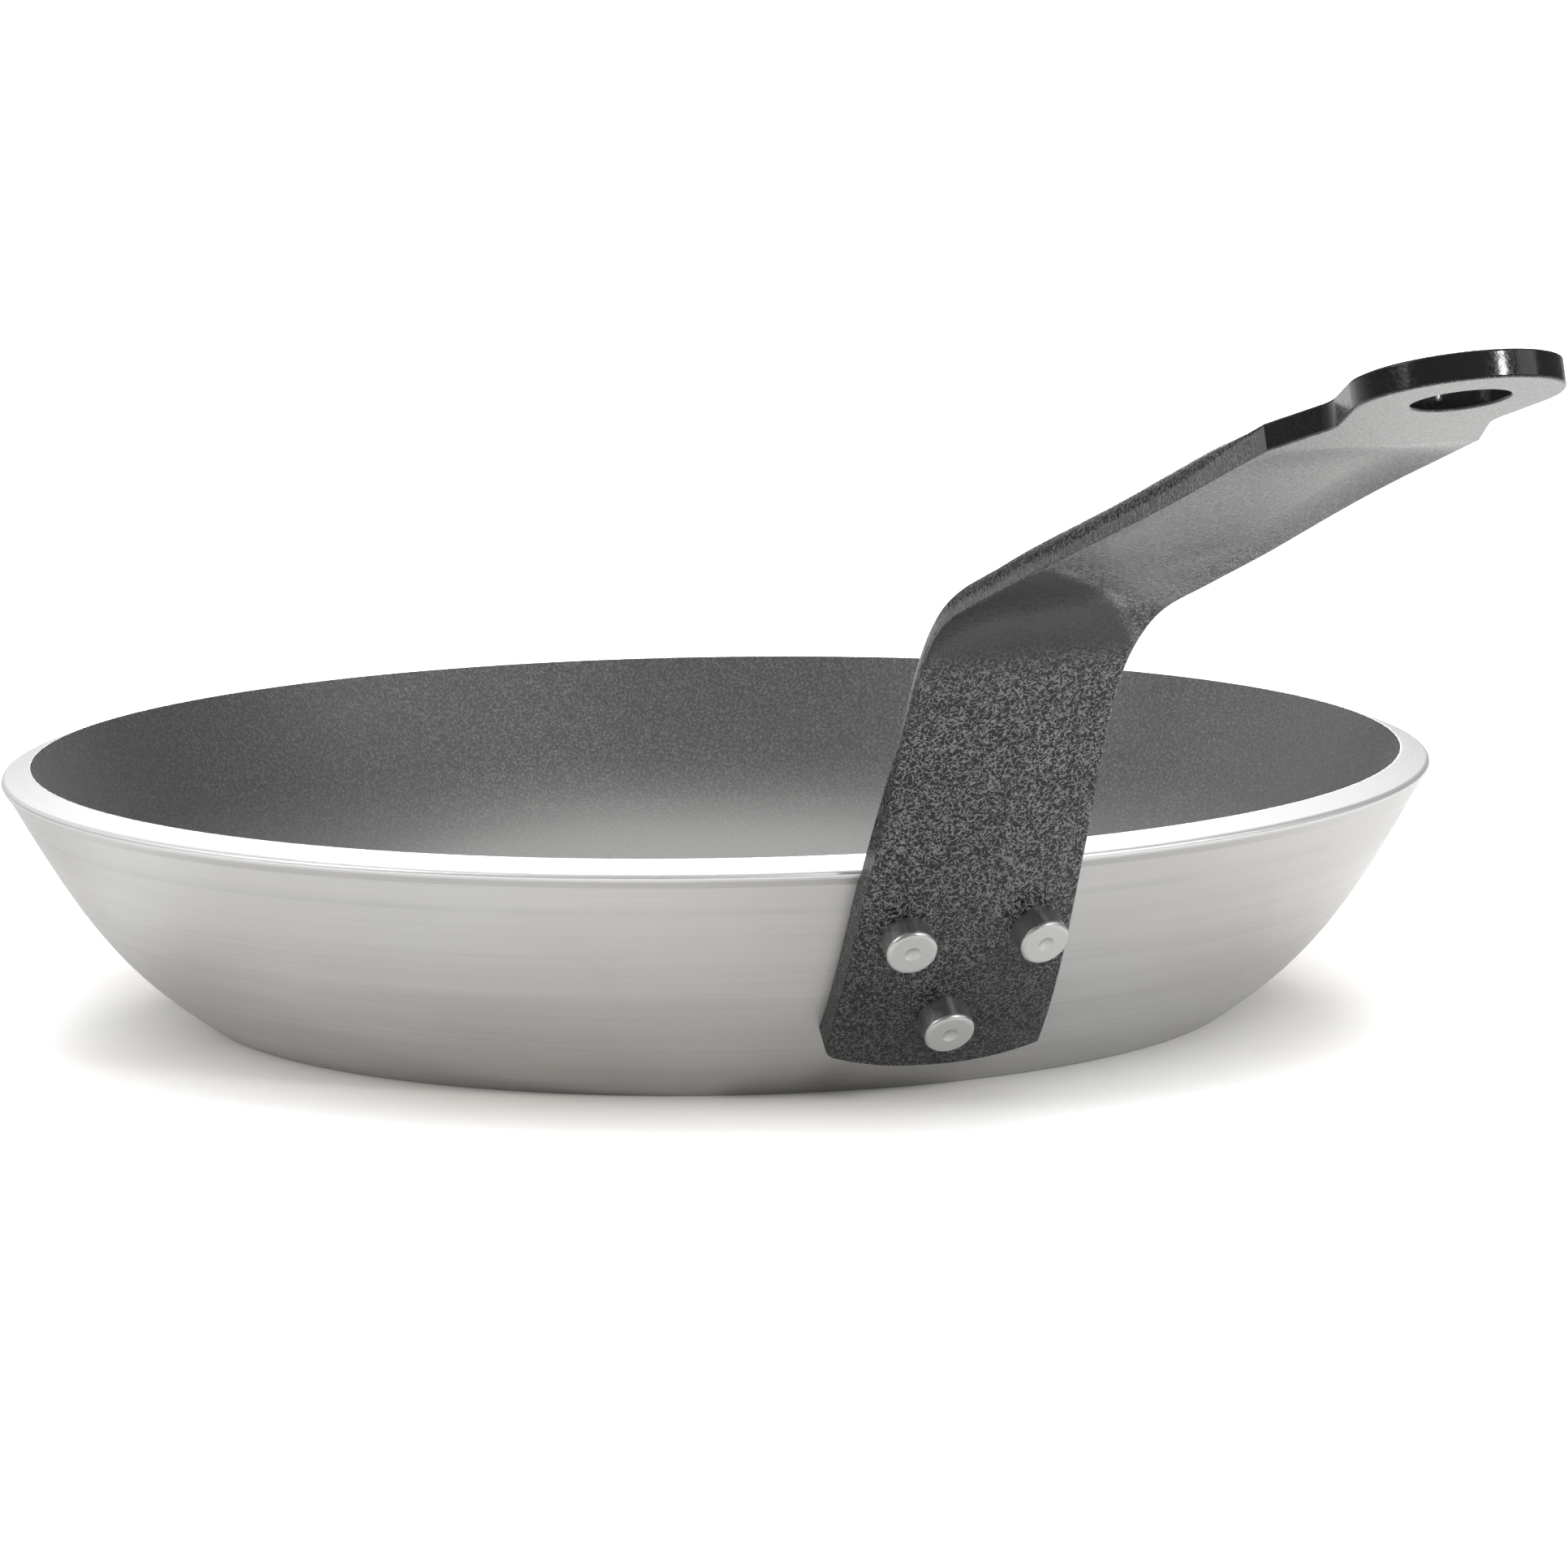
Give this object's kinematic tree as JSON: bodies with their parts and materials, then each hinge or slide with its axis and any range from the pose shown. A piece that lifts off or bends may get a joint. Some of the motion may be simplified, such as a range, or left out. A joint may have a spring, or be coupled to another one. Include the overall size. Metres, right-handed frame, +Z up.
{
  "type": "omelette pan",
  "caption": "Shallow round aluminium pan with flared walls and a dark coated well, and a flat strip handle riveted to the wall that ends in a round hanging eye.",
  "frame": {"origin": "centre of the underside of the base", "axes": "+Z up out of the pan, +X along the handle, +Y completes a right-handed frame"},
  "size_m": [0.4306, 0.2398, 0.1352],
  "materials": {
    "turned_aluminium": "fine turned satin, with a bright turned rim",
    "nonstick": "dark grey non-stick coating with a fine grain",
    "hammered_steel": "charcoal hammer-finish coat on steel strip",
    "rivet_aluminium": "bright plain rivet heads"
  },
  "bodies": {
    "root": {"pan_body": "turned_aluminium", "nonstick_coating": "nonstick", "handle": "hammered_steel", "rivet_left": "rivet_aluminium", "rivet_right": "rivet_aluminium", "rivet_lower": "rivet_aluminium"}
  },
  "joints": []
}
